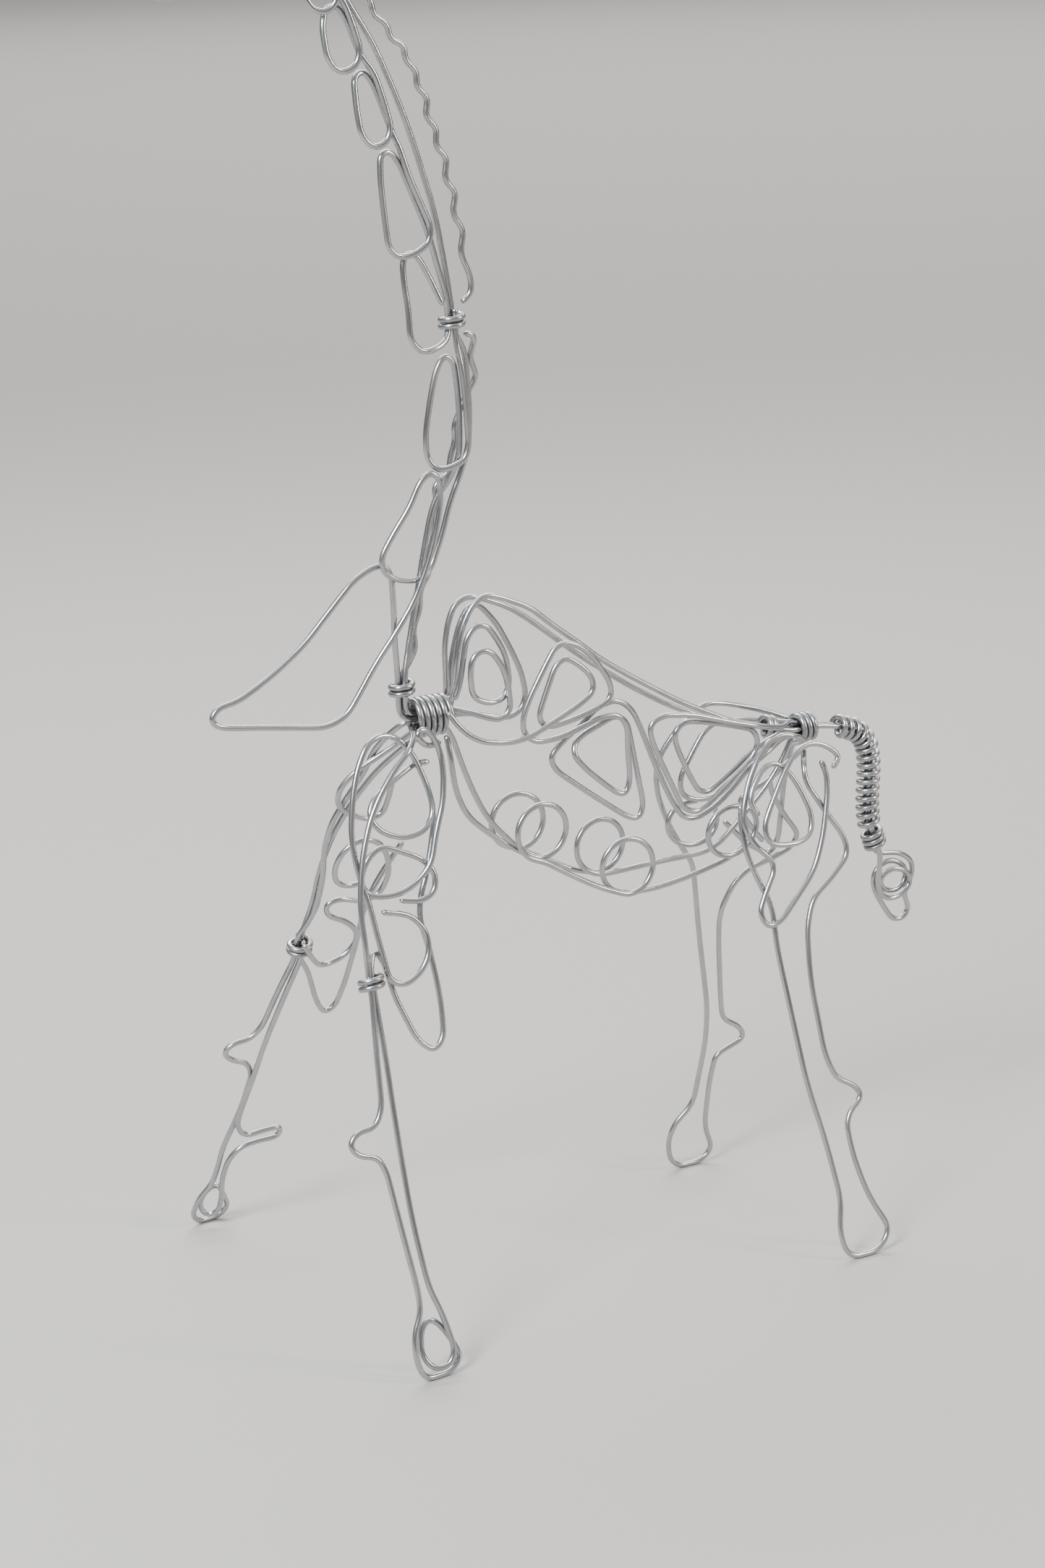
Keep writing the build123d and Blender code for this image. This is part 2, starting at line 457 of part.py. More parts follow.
def bindings():
    """Windings that tie the wires together; each is one close coil round its bundle."""
    up_neck = Vector(-0.406, 0, 0.914)
    nose = Vector(-0.87, 0, -0.49)
    near_knee = Vector(0, 0.25, 1)
    far_knee = Vector(0, -0.37, 1)
    near_plane = lean(-hip_half_width, shoulder_height, -near_fore_stance)
    far_plane = lean(hip_half_width, shoulder_height, far_fore_stance)
    near_at = warp(-109.85, near_plane(158) - 0.55, 158)
    far_at = warp(-100, far_plane(144), 144)
    return {
        "shoulder_binding": coil(warp(-62.2, 0, tie_height), (1, 0, 0), shoulder_wrap_radius, 5.5, pitch),
        "neck_foot_binding": coil(warp(-73.4, 0, 266.3), (0, 0, 1), knee_wrap_radius, 2, pitch),
        "neck_binding": coil(warp(-46.5, -pitch / 2, 413), (0, 0, 1), knee_wrap_radius, 2, pitch),
        "head_binding": coil(warp(-99.5, 0, 562.5), up_neck, rump_wrap_radius, 2, pitch),
        "nose_band": coil(warp(-152.7, 0, 553), nose, 13.6, 1.5, pitch, 180.0, 12),
        "near_knee_binding": coil(near_at, near_knee, knee_wrap_radius, 2, pitch),
        "far_knee_binding": coil(far_at, far_knee, knee_wrap_radius, 2, pitch),
        "back_binding": coil(warp(102.5, -pitch / 2, 223.9), (1, 0, -0.262), tail_wrap_radius, 2, pitch),
        "rump_binding": coil(warp(121.5, 0, rump_tie_height), (1, 0, 0), rump_wrap_radius, 3, pitch),
    }


def tail():
    """The long winding over the two tail cores, and the short one above the tuft."""
    drawn = [
        (130, 221), (139, 219), (149, 215.5), (154, 209), (155.5, 199), (154.5, 182), (155.5, 171), (161, 156),
    ]
    core = [warp(x, -pitch / 2, z) for x, z in drawn]
    path = FilletPolyline(*core, radius=bend_radii(core))

    def winding(first, last, turns, steps=8):
        out = []
        reach = tail_wrap_radius / math.cos(math.pi / steps)
        for k in range(turns * steps + 1):
            along = first + (last - first) * k / (turns * steps)
            across = (path % along).cross(Vector(0, 1, 0))
            angle = 2 * math.pi * k / steps
            round_core = Vector(0, 1, 0) * math.cos(angle) + across * math.sin(angle)
            out.append(path @ along + round_core * reach)
        return out

    return {"tail_winding": winding(0.1, 0.81, 15), "tail_end_binding": winding(0.845, 0.945, 3)}


def closed(points):
    """A wire that must be one sound solid."""
    bar = bent_wire(points)
    if not bar.is_valid:
        raise ValueError("a wire's bends run into each other")
    return bar


def build():
    """All wires, moved so that the origin is under the middle of the whole giraffe."""
    routes = {}
    body = (neck, mane, head, torso, flank, belly, tail, bindings)
    legs = (near_fore, far_fore, near_hind, far_hind)
    for group in body + legs:
        routes.update(group())
    solids = {name: closed(points) for name, points in routes.items()}
    low = [min(getattr(bar.bounding_box().min, axis) for bar in solids.values()) for axis in "XYZ"]
    high = [max(getattr(bar.bounding_box().max, axis) for bar in solids.values()) for axis in "XYZ"]
    shift = Location((-(low[0] + high[0]) / 2, -(low[1] + high[1]) / 2, -low[2]))
    return {name: shift * bar for name, bar in solids.items()}


# Build and write
os.makedirs("parts", exist_ok=True)
for name, bar in build().items():
    bar.label = name
    export_step(bar, f"parts/{name}.step")
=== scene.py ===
"""Look of the bent-wire giraffe: every wire is redrawn as a smooth round bar with a galvanised skin."""

import math

import bpy
import numpy as np
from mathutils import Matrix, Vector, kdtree


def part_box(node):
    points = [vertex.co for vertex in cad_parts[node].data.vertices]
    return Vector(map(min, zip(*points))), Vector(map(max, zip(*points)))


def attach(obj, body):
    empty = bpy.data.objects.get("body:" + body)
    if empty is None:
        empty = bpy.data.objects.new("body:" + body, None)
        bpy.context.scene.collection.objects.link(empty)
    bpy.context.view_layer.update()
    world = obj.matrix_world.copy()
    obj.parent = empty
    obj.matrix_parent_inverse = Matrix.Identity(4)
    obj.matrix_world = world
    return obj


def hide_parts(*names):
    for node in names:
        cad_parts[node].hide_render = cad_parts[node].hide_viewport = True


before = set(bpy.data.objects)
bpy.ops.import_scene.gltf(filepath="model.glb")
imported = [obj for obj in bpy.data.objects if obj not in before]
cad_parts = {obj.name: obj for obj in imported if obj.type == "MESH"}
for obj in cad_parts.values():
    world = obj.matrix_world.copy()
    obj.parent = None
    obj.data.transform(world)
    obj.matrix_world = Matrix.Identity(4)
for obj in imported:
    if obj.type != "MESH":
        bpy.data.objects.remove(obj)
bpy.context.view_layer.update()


# Fence wire. The whole giraffe is bent by hand from one gauge of galvanised steel wire, in
# millimetres here. Each wire keeps a soft bend at every corner and a nipped, slightly flattened
# end where the pliers cut it.
wire = 2.5               # diameter of the fence wire that everything is bent from
gap = 0.25               # clear space left between two wires that cross
pitch = wire + gap       # from one crossing wire's centre to the next
millimetre = 0.001
facets = 18              # sides of a wire's round section
ring_spacing = 0.9       # from one section to the next along a wire
bend_samples = 9         # points on each arc
spring_back = 1.3        # how far a bend eases into its straight runs
nip_length = 0.6         # of a cut end
nip_tall = 0.74          # height of a nipped tip, as a share of the wire's
nip_wide = 0.52          # width of a nipped tip, as a share of the wire's
drawn_stretch = 0.35     # how far the drawing lines are pulled out along the wire
cut_depth = 0.25         # length of bare steel at a cut end
bars = {}
centre_lines = {}


def rounded(corners):
    """Corners joined by arcs: each arc leaves a share of the shorter run before its corner and
    turns evenly from one run's direction to the next, by spherical interpolation about its centre."""
    runs = np.diff(corners, axis=0)
    lengths = np.linalg.norm(runs, axis=1)
    along = runs / lengths[:, None]
    before, after = along[:-1], along[1:]
    turn = np.arccos(np.clip((before * after).sum(1), -1, 1))
    bent = turn > 1e-3
    before, after, turn = before[bent], after[bent], turn[bent]
    corner = corners[1:-1][bent]
    reach = 0.45 * np.minimum(lengths[:-1], lengths[1:])[bent]
    radius = reach / np.tan(turn / 2)
    inward = after - before
    inward /= np.linalg.norm(inward, axis=1)[:, None]
    centre = corner + inward * (radius / np.cos(turn / 2))[:, None]
    first = (corner - before * reach[:, None] - centre)[:, None, :]
    last = (corner + after * reach[:, None] - centre)[:, None, :]
    share = np.linspace(0, 1, bend_samples)[None, :]
    sine = np.sin(turn)[:, None]
    fade_out = (np.sin((1 - share) * turn[:, None]) / sine)[:, :, None]
    fade_in = (np.sin(share * turn[:, None]) / sine)[:, :, None]
    arcs = centre[:, None, :] + first * fade_out + last * fade_in
    return np.vstack([corners[:1], arcs.reshape(-1, 3), corners[-1:]])


def eased(line, spacing, ease):
    """The line resampled at even steps, then each point blended with its neighbours by a bell
    curve of the given width, so a bend grows and fades as it does in springy wire."""
    steps = np.linalg.norm(np.diff(line, axis=0), axis=1)
    travel = np.concatenate([[0], np.cumsum(steps)])
    count = max(8, int(round(travel[-1] / spacing)))
    even = np.linspace(0, travel[-1], count + 1)
    points = np.column_stack([np.interp(even, travel, line[:, k]) for k in range(3)])
    reach = int(math.ceil(3 * ease / spacing))
    weights = np.exp(-0.5 * (np.arange(-reach, reach + 1) * spacing / ease) ** 2)
    weights /= weights.sum()
    start = 2 * points[0] - points[reach:0:-1]
    end = 2 * points[-1] - points[-2:-reach - 2:-1]
    padded = np.vstack([start, points, end])
    return np.column_stack([np.convolve(padded[:, k], weights, mode="valid") for k in range(3)])


def carried_frames(line):
    """Two directions across the wire at each point. Each is the last one with its share along
    the new direction taken out, so the section never twists."""
    along = np.gradient(line, axis=0)
    along /= np.linalg.norm(along, axis=1)[:, None]
    side = np.cross(along[0], [0.31, 0.52, 0.79])
    sides = []
    for direction in along:
        side = side - direction * side.dot(direction)
        side = side / np.linalg.norm(side)
        sides.append(side)
    sides = np.array(sides)
    return along, sides, np.cross(along, sides)


def round_bar(name, line, radius):
    """A circle of the wire's radius carried along the line: point(s, a) = line(s) + radius(s) *
    (cos a * side + sin a * up).  The radius closes in over the nipped ends, and one direction
    closes in more, which leaves the flattened tip of a cut wire."""
    along, side, up = carried_frames(line)
    travel = np.concatenate([[0], np.cumsum(np.linalg.norm(np.diff(line, axis=0), axis=1))])
    ends = np.minimum(travel, travel[-1] - travel)
    nip = np.clip(ends / nip_length, 0, 1)
    tall = radius * (nip_tall + (1 - nip_tall) * np.sqrt(1 - (1 - nip) ** 2))
    wide = radius * (nip_wide + (1 - nip_wide) * np.sqrt(1 - (1 - nip) ** 2))
    angle = np.linspace(0, 2 * math.pi, facets, endpoint=False)
    grid = (line[:, None, :]
            + side[:, None, :] * (tall[:, None] * np.cos(angle)[None, :])[:, :, None]
            + up[:, None, :] * (wide[:, None] * np.sin(angle)[None, :])[:, :, None])
    rows = len(line)
    index = np.arange(rows * facets).reshape(rows, facets)
    here, above = index[:-1], index[1:]
    quads = np.stack([here, np.roll(here, -1, 1), np.roll(above, -1, 1), above], -1).reshape(-1, 4)
    first_tip, last_tip = rows * facets, rows * facets + 1
    foot = np.column_stack([np.full(facets, first_tip), np.roll(index[0], -1), index[0]])
    head = np.column_stack([np.full(facets, last_tip), index[-1], np.roll(index[-1], -1)])
    vertices = np.vstack([grid.reshape(-1, 3), line[:1], line[-1:]])
    mesh = bpy.data.meshes.new(name)
    mesh.from_pydata(vertices * millimetre + shift, [], quads.tolist() + foot.tolist() + head.tolist())
    mesh.shade_smooth()
    skin = np.zeros((len(vertices), 3))
    skin[:-2, 0] = np.repeat(travel, facets) * drawn_stretch
    skin[:-2, 1] = np.tile(np.cos(angle), rows) * radius
    skin[:-2, 2] = np.tile(np.sin(angle), rows) * radius
    skin[-2:, 0] = (0, travel[-1] * drawn_stretch)
    drawn = mesh.attributes.new("drawn", "FLOAT_VECTOR", "POINT")
    drawn.data.foreach_set("vector", skin.astype(np.float32).ravel())
    cut = np.zeros(len(vertices))
    cut[:-2] = np.repeat(np.clip(1 - ends / cut_depth, 0, 1), facets)
    cut[-2:] = 1
    bare = mesh.attributes.new("cut_end", "FLOAT", "POINT")
    bare.data.foreach_set("value", cut.astype(np.float32))
    piece = bpy.data.objects.new(name, mesh)
    bpy.context.scene.collection.objects.link(piece)
    return piece


def upright(z):
    """The upright middle plane of the body."""
    return 0.0


def lean(hip_y, hip_z, foot_y):
    """The slanted plane of a leg: sideways place as a function of height."""
    return lambda z: foot_y + (hip_y - foot_y) * (z - wire / 2) / (hip_z - wire / 2)


def route(points, plane=upright, unit=1.0):
    """Points (x, z) or (x, z, depth) as places: a missing depth lies evenly between its neighbours'."""
    known = [i for i, point in enumerate(points) if len(point) == 3]
    given = [points[i][2] for i in known]
    depths = np.interp(range(len(points)), known, given)
    return np.array([(p[0], plane(p[1]) + depth * unit, p[1]) for p, depth in zip(points, depths)])


def coil(centre, axis, radius, turns, advance, start=0.0, steps=8):
    """Corners of a winding: point(k) = centre + rise(k) * axis + reach * (cos(k) * across + sin(k) * up)."""
    axis = np.array(axis, float) / np.linalg.norm(axis)
    across = np.array([0.0, 1.0, 0.0])
    across -= axis * across.dot(axis)
    across /= np.linalg.norm(across)
    up = np.cross(axis, across)
    count = round(turns * steps)
    angle = math.radians(start) + 2 * math.pi * np.arange(count + 1) / steps
    rise = advance * (np.arange(count + 1) / steps - turns / 2)
    reach = radius / math.cos(math.pi / steps)
    return (np.array(centre, float) + rise[:, None] * axis
            + reach * (np.cos(angle)[:, None] * across + np.sin(angle)[:, None] * up))


def lane(index):
    """Place of a wire in a round bundle: sideways offset and height offset."""
    if index == 0:
        return 0.0, 0.0
    if index <= 6:
        angle = math.radians(60 * (index - 1))
        return pitch * math.cos(angle), pitch * math.sin(angle)
    angle = math.radians(30 + 60 * (index - 7))
    return math.sqrt(3) * pitch * math.cos(angle), math.sqrt(3) * pitch * math.sin(angle)


def zinc_group():
    """Shader group of a galvanised skin: zinc mottle from two noises, lines left by the drawing
    die along the wire, white haze, and painted shade with some grime where wires lie together."""
    group = bpy.data.node_groups.new("zinc_skin", "ShaderNodeTree")
    group.interface.new_socket("Shine", in_out="INPUT", socket_type="NodeSocketFloat").default_value = 0.36
    group.interface.new_socket("Shade and grime", in_out="INPUT", socket_type="NodeSocketFloat").default_value = 0.5
    group.interface.new_socket("Fresh zinc", in_out="INPUT", socket_type="NodeSocketColor")
    group.interface.new_socket("Dull zinc", in_out="INPUT", socket_type="NodeSocketColor")
    group.interface.new_socket("Color", in_out="OUTPUT", socket_type="NodeSocketColor")
    group.interface.new_socket("Roughness", in_out="OUTPUT", socket_type="NodeSocketFloat")
    group.interface.new_socket("Height", in_out="OUTPUT", socket_type="NodeSocketFloat")
    nodes, links = group.nodes, group.links
    given = nodes.new("NodeGroupInput")
    result = nodes.new("NodeGroupOutput")
    place = nodes.new("ShaderNodeTexCoord")

    def noise(scale, detail, source, roughness=0.5):
        texture = nodes.new("ShaderNodeTexNoise")
        texture.inputs["Scale"].default_value = scale
        texture.inputs["Detail"].default_value = detail
        texture.inputs["Roughness"].default_value = roughness
        links.new(source, texture.inputs["Vector"])
        return texture.outputs["Fac"]

    def spread(source, low, high, to_low=0.0, to_high=1.0):
        remap = nodes.new("ShaderNodeMapRange")
        remap.inputs["From Min"].default_value = low
        remap.inputs["From Max"].default_value = high
        remap.inputs["To Min"].default_value = to_low
        remap.inputs["To Max"].default_value = to_high
        links.new(source, remap.inputs["Value"])
        return remap.outputs["Result"]

    def blend(share, first, second):
        mix = nodes.new("ShaderNodeMix")
        mix.data_type = "RGBA"
        for socket, value in (("A", first), ("B", second)):
            target = [s for s in mix.inputs if s.name == socket and s.type == "RGBA"][0]
            if isinstance(value, tuple):
                target.default_value = value
            else:
                links.new(value, target)
        links.new(share, mix.inputs["Factor"])
        return [s for s in mix.outputs if s.type == "RGBA"][0]

    def sum_of(operation, first, second):
        maths = nodes.new("ShaderNodeMath")
        maths.operation = operation
        for socket, value in zip(maths.inputs, (first, second)):
            if isinstance(value, float):
                socket.default_value = value
            else:
                links.new(value, socket)
        return maths.outputs["Value"]

    drawn = nodes.new("ShaderNodeAttribute")
    drawn.attribute_name = "drawn"
    touching = nodes.new("ShaderNodeAttribute")
    touching.attribute_name = "shade_and_grime"
    cut = nodes.new("ShaderNodeAttribute")
    cut.attribute_name = "cut_end"
    mottle = spread(noise(120.0, 3.0, place.outputs["Object"]), 0.3, 0.75)
    cloud = spread(noise(38.0, 2.0, place.outputs["Object"]), 0.35, 0.7)
    lines = noise(3.2, 4.0, drawn.outputs["Vector"], 0.65)
    zinc = blend(sum_of("MULTIPLY", mottle, 0.5), given.outputs["Fresh zinc"], given.outputs["Dull zinc"])
    hazed = blend(sum_of("MULTIPLY", spread(cloud, 0.45, 1.0), 0.15), zinc, (0.66, 0.66, 0.64, 1))
    streak = spread(lines, 0.48, 0.8, 0.0, 0.22)
    streaked = blend(streak, hazed, (0.24, 0.235, 0.23, 1))
    speck = spread(noise(900.0, 1.0, place.outputs["Object"]), 0.7, 0.76, 0.0, 0.3)
    specked = blend(speck, streaked, (0.16, 0.15, 0.14, 1))
    # Painted shade, with some grime in it: the wire turns near black where another wire lies close, most on
    # the side facing it.
    shade_and_soil = sum_of("MULTIPLY", touching.outputs["Fac"], given.outputs["Shade and grime"])
    shade_and_soil = sum_of("MULTIPLY", shade_and_soil, spread(noise(150.0, 3.0, place.outputs["Object"]), 0.3, 0.6, 0.45, 1.0))
    shaded_and_soiled = blend(shade_and_soil, specked, (0.075, 0.068, 0.06, 1))
    bright = blend(sum_of("MULTIPLY", cut.outputs["Fac"], 0.6), shaded_and_soiled, (0.5, 0.46, 0.42, 1))
    links.new(bright, result.inputs["Color"])
    uneven = sum_of("ADD", given.outputs["Shine"], spread(mottle, 0.0, 1.0, -0.03, 0.05))
    worn = sum_of("ADD", uneven, sum_of("MULTIPLY", cloud, 0.08))
    links.new(sum_of("ADD", worn, sum_of("MULTIPLY", shade_and_soil, 0.25)), result.inputs["Roughness"])
    ridges = sum_of("MULTIPLY", lines, 0.6)
    grain = sum_of("MULTIPLY", noise(620.0, 2.0, place.outputs["Object"]), 0.4)
    links.new(sum_of("ADD", ridges, grain), result.inputs["Height"])
    return group


zinc_skin = zinc_group()


def galvanised(name, shine, shade_and_grime, fresh, dull):
    """A metal that wears the shared zinc skin with its own shine, strength of painted shade and grime, and
    two zinc greys.
    """
    material = bpy.data.materials.new(name)
    material.use_nodes = True
    nodes, links = material.node_tree.nodes, material.node_tree.links
    surface = nodes["Principled BSDF"]
    surface.inputs["Metallic"].default_value = 1.0
    skin = nodes.new("ShaderNodeGroup")
    skin.node_tree = zinc_skin
    skin.inputs["Shine"].default_value = shine
    skin.inputs["Shade and grime"].default_value = shade_and_grime
    skin.inputs["Fresh zinc"].default_value = fresh
    skin.inputs["Dull zinc"].default_value = dull
    links.new(skin.outputs["Color"], surface.inputs["Base Color"])
    links.new(skin.outputs["Roughness"], surface.inputs["Roughness"])
    bump = nodes.new("ShaderNodeBump")
    bump.inputs["Strength"].default_value = 0.18
    bump.inputs["Distance"].default_value = 0.00005
    links.new(skin.outputs["Height"], bump.inputs["Height"])
    links.new(bump.outputs["Normal"], surface.inputs["Normal"])
    return material


# The third number of each metal sets how dark the painted shade and grime between touching wires is.
body_zinc = galvanised("body_zinc", 0.2, 0.4, (0.46, 0.467, 0.478, 1), (0.32, 0.326, 0.336, 1))
wrap_zinc = galvanised("wrap_zinc", 0.22, 0.6, (0.43, 0.437, 0.448, 1), (0.28, 0.286, 0.296, 1))


def bend(name, corners, metal=body_zinc, ease=spring_back):
    """One wire of the giraffe, in the place of the plain bar of the same name."""
    line = eased(rounded(np.array(corners, float)), ring_spacing, ease)
    piece = round_bar(name + "_bar", line, wire / 2)
    piece.data.materials.append(metal)
    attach(piece, "root")
    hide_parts(name)
    bars[name] = piece
    centre_lines[name] = line


# Shoulder winding. A close coil of the same wire, five turns and a half, pulled tight round the
# bundle of neck, back and leg wires. Its place in the frame fixes where everything else lies.
shoulder_wrap_radius = 2.6 * pitch + gap
tie_height = 253.0        # centre of the shoulder binding
shoulder_winding = coil((-62.2, 0, tie_height), (1, 0, 0), shoulder_wrap_radius, 5.5, pitch)
drawn_centre = eased(rounded(shoulder_winding), ring_spacing, 0.5)
drawn_middle = (drawn_centre.min(0) + drawn_centre.max(0)) / 2
frame_middle = np.mean(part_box("shoulder_binding"), axis=0)
shift = frame_middle - drawn_middle * millimetre
bend("shoulder_binding", shoulder_winding, wrap_zinc, 0.4)


# Neck. Two long wires carry the open throat loops one above the other; the lower one runs down
# through the chest flap to the shoulder. Every loop is bent round in one piece with the next.
side, up = lane(3)
spine = [
    (-103, 570.4, 0), (-99.5, 562.5), (-92, 547), (-85, 535), (-76, 521), (-67, 501), (-61, 485),
    (-52, 456), (-48, 433), (-45.7, 418), (-45.7, 409), (-40.5, 401), (-39.5, 387), (-39, 375),
    (-40, 361), (-44, 351, 0), (-49, 340), (-53, 327), (-58, 315, 0), (-63, 310.5), (-70, 311),
    (-78, 313, -5.8), (-83, 317), (-83, 323), (-77, 332), (-70, 341), (-65, 351), (-60, 355),
    (-56, 351), (-56, 341), (-59, 328), (-63, 316, -5.8), (-69, 303), (-78, 290.5), (-87, 279.5),
    (-95, 267.5), (-100.5, 259.5), (-109.5, 256), (-132.5, 259.5), (-154.5, 262.5), (-159.5, 265.5),
    (-156, 270.5), (-147, 272), (-132, 280), (-117, 291), (-105.5, 303), (-94.5, 314), (-86.5, 318),
    (-80.5, 319, -2.6), (-77.5, 314), (-77, 301, -2.6), (-76.5, 285.5), (-75, 272, 0),
    (-75, tie_height, 0), (-64, tie_height, 0),
]
chain = [
    (-52, 420, -4.6), (-56, 430, -2.8), (-61, 439), (-65, 442), (-68, 438, -2.6), (-68, 429),
    (-67, 419.5), (-67, 407, -5.6), (-62, 402), (-56, 403, -5.6), (-50, 405.5), (-48.1, 410, -1.4),
    (-48.1, 416, -1.4), (-49.5, 424.5), (-53, 436), (-56, 447, -2.8), (-62, 462, -2.4),
    (-68, 476, -2.4), (-72.5, 481), (-76.5, 479.5), (-77, 469.5), (-76, 454.5), (-75, 443, -5.6),
    (-70, 439.5), (-63, 441), (-57, 445, -5.6), (-56.5, 451), (-60.5, 460), (-65.5, 471.5, -5.2),
    (-68, 481, -4.2), (-70.5, 487, -2.8), (-74, 497), (-77.5, 506.5), (-81.5, 511.5, -1.2), (-86, 509),
    (-86, 497.5), (-85, 487, -5.6), (-80, 482), (-74, 484, -5.6), (-72, 489.5), (-74.5, 499.5),
    (-78, 510.5, -4.4), (-83, 517, -2.8), (-88, 530, -2.8), (-92, 536), (-97, 535, -2.8), (-99, 527.5),
    (-98, 516, -5.6), (-93, 510.5), (-86, 513, -5.6), (-84, 519), (-86.5, 527.5, -5.6),
    (-90, 537.5, -5.2), (-98, 547, -3), (-103, 554), (-108, 554, -3), (-108, 545), (-104.5, 535, -6.6),
    (-98.5, 533, -6.9), (-94, 537, -7.9), (-93.5, 544, -7.7), (-96.5, 552, -3.4), (-99.1, 558.3, -2.4),
    (-102.4, 565.6, -2.4),
]
low_chain = [
    (-64, tie_height + up, side), (-72.6, tie_height + up, side), (-72.6, 263, side),
    (-72.6, 272, side), (-67, 289, 2.7), (-64, 302), (-61, 317, 2.7), (-57, 334), (-54, 342, 2.7),
    (-48.5, 350, 0), (-45.5, 359, -2.8), (-45, 373), (-45.5, 386), (-47, 397), (-51, 400.5), (-55, 394),
    (-58, 382), (-60.5, 368), (-60, 359, -2.8), (-56.5, 354.5), (-51.5, 355, -5.6), (-44.5, 357.5),
    (-42.5, 363), (-43, 373, -5.6), (-43.5, 384.5), (-44.5, 395, -5), (-45.5, 404, -2.8),
    (-45.7, 410, -2.75), (-45.7, 418, -2.75),
]
bend("spine_wire", route(spine))
bend("upper_throat_loops", route(chain))
bend("lower_throat_loops", route(low_chain))


# Mane. A wire pressed into small waves, tied on behind the neck in two lengths.
side, up = lane(2)
upper = [
    (-100, 570.3, 0), (-97, 563.6), (-92, 554), (-84, 548), (-83, 542), (-76, 537), (-76, 531.5),
    (-69.5, 528), (-69, 522), (-62.5, 520), (-63, 514), (-57.5, 510), (-58.5, 503.5), (-53, 500),
    (-55, 492), (-49.5, 488), (-51, 480.5), (-45.5, 476.5), (-47.5, 467.5), (-42, 463), (-44.5, 454),
    (-39, 448), (-41.5, 439), (-37, 430), (-36.5, 423), (-41, 419.5, 0),
]
lower = [
    (-40.2, 407.2, 0), (-35.5, 406.5), (-36, 402), (-37.8, 397.5, 1.5), (-34, 389), (-38, 384, 2.8),
    (-41, 377, 3.4), (-44.5, 370), (-43.5, 364), (-46, 357.5), (-46.5, 351, 5), (-53.5, 346.5, 5.6),
    (-52, 339.5), (-55, 333), (-53.5, 326), (-57.5, 317), (-56, 311), (-61, 305), (-61, 296.5),
    (-65, 288.5, 5.6), (-64, 281, 4.6), (-68, 276, 3), (-72.6, 271.5, side), (-72.6, 263, side),
    (-72.6, tie_height + up, side), (-64, tie_height + up, side),
]
bend("upper_mane", route(upper))
bend("lower_mane", route(lower))


# Head. The skull is one wire bent to its profile, with a cheek loop, a leaf-shaped ear, a horn
# that ends in a curl, and an eye ring to each side.
def ring_turn(x, z, radius, first, last, steps=10):
    """One full turn that starts and ends at its lowest point, as (x, z, depth)."""
    angle = 2 * math.pi * np.arange(steps + 1) / steps
    reach = radius / math.cos(math.pi / steps)
    depth = np.linspace(first, last, steps + 1)
    return list(zip(x + reach * np.sin(angle), z - reach * np.cos(angle), depth))


profile = [
    (-96.7, 559.5, -2.38), (-98.2, 563, -2.38), (-101.5, 570.5, -2.38), (-104, 578), (-111, 584, 0),
    (-120, 581), (-140, 571), (-160, 561), (-169, 553), (-170, 545), (-163, 540), (-150, 543),
    (-135, 547), (-115, 549, 0), (-101, 550, 2.38), (-98, 555.7, 2.38), (-100.8, 562, 2.38),
    (-103.8, 568.7, 2.38),
]
bend("head_profile", route(profile))
for name, side in (("near", -1), ("far", 1)):
    cheek = [
        (-107, 569, 6.2), (-112, 575.5, 6.6), (-126, 572, 8), (-146, 563, 6), (-157, 554, 3.4),
        (-150, 548, 4.5), (-130, 552, 8), (-113, 557, 8.2), (-106.5, 563, 8.2),
    ]
    ear = [
        (-103, 573, 5.6), (-99, 578, 13), (-95, 582, 25), (-91, 580, 33), (-92, 573, 25),
        (-97, 569.5, 14), (-99, 566, 8.8),
    ]
    horn = [
        (-114, 577, 3.6), (-110, 588, 5), (-106, 603, 6.6), (-102, 607, 6.8), (-100.5, 612, 7),
        (-104.5, 616, 7.2), (-109, 613, 7.4), (-109, 608, 7.6),
    ]
    eye = ring_turn(-127, 568, 4.2, 10.9, 13.4, 8)
    bend(name + "_cheek", route(cheek, unit=side))
    bend(name + "_ear", route(ear, unit=side))
    bend(name + "_horn", route(horn, unit=side))
    bend(name + "_eye", route(eye, unit=side))


# Back, withers and tail cores. Two wires rise from the shoulder winding over the withers and run
# along the back; past the rump they stay together as the tail, and one of them curls into the tuft.
rump_tie_height = 221.0   # centre of the rump binding
low_side, low_up = lane(12)
back_far = [
    (-62, tie_height + lane(7)[1], lane(7)[0]), (-51.5, tie_height + lane(7)[1], lane(7)[0]),
    (-51.5, 265, 3.4), (-52, 280, 3), (-50, 290), (-47, 297), (-41, 300), (-34, 298), (-22, 293),
    (-12, 286), (-2, 278), (12, 267), (25, 258), (37, 250), (54, 240), (70, 233), (84, 228.6, 3),
    (96, 225.6, 0), (109, 222.2, 0), (114, rump_tie_height, 0), (130, rump_tie_height), (139, 219),
    (149, 215.5), (154, 209), (155.5, 199), (154.5, 182), (155.5, 171), (161, 156, 0),
]
back_near = [
    (-62, tie_height + lane(8)[1], 0), (-51.3, tie_height + lane(8)[1], 0), (-50.5, 266, -2.4),
    (-50, 274, -3), (-47, 288), (-42, 297), (-36, 301), (-29, 299), (-15, 293), (-6, 285), (6, 276),
    (17, 267), (29, 259), (42, 251), (58, 241.5), (78, 232), (87, 228, -3), (96, 225.6, -2.75),
    (109, 222.2, -2.75), (114, rump_tie_height, -2.75), (130, rump_tie_height), (139, 219),
    (149, 215.5), (154, 209), (155.5, 199), (154.5, 182), (155.5, 171), (161.5, 155, -2.75),
    (160.5, 146), (161, 138), (166, 133.5), (174, 134), (179.5, 139), (178, 144.5), (171, 147.5),
    (165, 145.5, 0), (163, 141), (167, 136.5), (174, 136), (179, 140, 2), (178, 147), (171, 150.5),
    (164.5, 148.5), (161.5, 142), (164, 135, 4.6), (169, 127), (173.5, 120.5), (180, 120.5),
    (182.5, 125), (179, 133, 4.6), (184, 140), (184, 147), (177, 152.5), (165.5, 154, 4.6),
]
